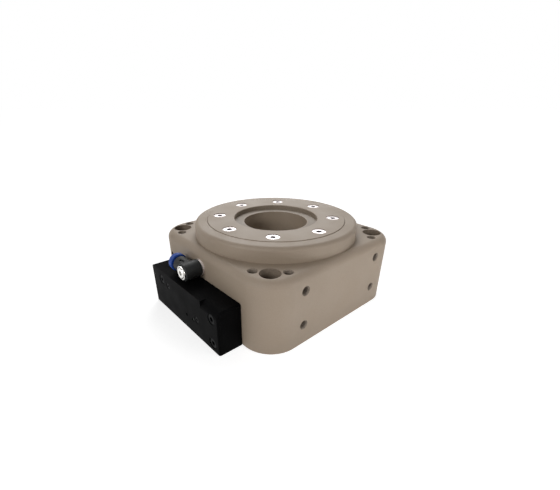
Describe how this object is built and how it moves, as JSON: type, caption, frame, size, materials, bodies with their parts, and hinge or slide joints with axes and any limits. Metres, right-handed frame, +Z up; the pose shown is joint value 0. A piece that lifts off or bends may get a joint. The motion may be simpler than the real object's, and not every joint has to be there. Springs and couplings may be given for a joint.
{
  "type": "air bearing rotary stage",
  "caption": "Square base with a round boss, a flush air-bearing rotor with threaded inserts and an open aperture, a black connection box and a swivelling push-in air elbow on the front.",
  "frame": {"origin": "rotation axis where it meets the underside of the base", "axes": "+Z up along the rotation axis, -Y out of the face with the connection box and air elbow, +X out of the face with four tapped holes"},
  "size_m": [0.11, 0.1245, 0.0513],
  "materials": {
    "housing_anodised": "satin hard-anodised, warm grey-brown",
    "rotor_anodised": "fine-turned hard-anodised, warm grey-brown",
    "insert_steel": "bright turned steel",
    "bearing_bronze": "fine-bored bronze",
    "jet_brass": "turned brass",
    "seal_rubber": "moulded black rubber",
    "gasket_rubber": "thin black sheet",
    "screw_black": "blackened alloy steel",
    "screw_steel": "bright zinc plate",
    "plate_steel": "ground steel",
    "magnet_nickel": "nickel plate",
    "core_laminate": "stacked laminations",
    "coil_copper": "varnished copper wire",
    "scale_steel": "polished scale",
    "head_plastic": "moulded black",
    "cover_anodised": "satin anodised",
    "box_anodised": "black anodised, fine blasted",
    "window_plastic": "smoked clear plastic",
    "board_laminate": "green solder mask",
    "chip_plastic": "moulded black",
    "connector_metal": "matt nickel plate",
    "fitting_nickel": "bright nickel plate",
    "elbow_plastic": "moulded dark grey",
    "grip_steel": "spring steel",
    "collar_plastic": "moulded blue"
  },
  "bodies": {
    "base": {"housing": "housing_anodised", "bearing_sleeve": "bearing_bronze", "sleeve_seals": "seal_rubber", "journal_jets": "jet_brass", "thrust_jets": "jet_brass", "sleeve_screws": "screw_steel", "stator_core": "core_laminate", "stator_coils": "coil_copper", "read_head": "head_plastic", "read_head_screws": "screw_steel", "bottom_cover": "cover_anodised", "bottom_cover_screws": "screw_steel", "side_box": "box_anodised", "box_gasket": "gasket_rubber", "box_screws": "screw_black", "board_screws": "screw_black", "board_nuts": "screw_steel", "circuit_board": "board_laminate", "board_parts": "chip_plastic", "indicator_window": "window_plastic", "motor_connector": "connector_metal", "encoder_connector": "connector_metal", "tapping_plug": "screw_black", "fitting_washer": "fitting_nickel", "hollow_bolt": "fitting_nickel"},
    "rotor": {"rotor_table": "rotor_anodised", "load_inserts": "insert_steel", "thrust_plate": "plate_steel", "magnet_hub": "plate_steel", "rotor_magnets": "magnet_nickel", "rotor_screws": "screw_steel", "scale_ring": "scale_steel"},
    "elbow": {"elbow_body": "elbow_plastic", "barrel_seals": "seal_rubber", "tube_seal": "seal_rubber", "grip_ring": "grip_steel"},
    "release_collar": {"release_collar": "collar_plastic"}
  },
  "joints": [
    {"name": "rotor_spin", "type": "hinge", "parent": "base", "child": "rotor", "pos_m": [0, 0, 0], "axis": [0, 0, 1], "continuous": true},
    {"name": "elbow_swivel", "type": "hinge", "parent": "base", "child": "elbow", "pos_m": [-0.003, -0.0615, 0.0323], "axis": [0, 1, 0], "range_deg": [-2.5, 182.5]},
    {"name": "collar_press", "type": "slide", "parent": "elbow", "child": "release_collar", "axis": [1, 0, 0], "range_m": [0, 0.0009], "stiffness_N_per_m": 2000}
  ]
}
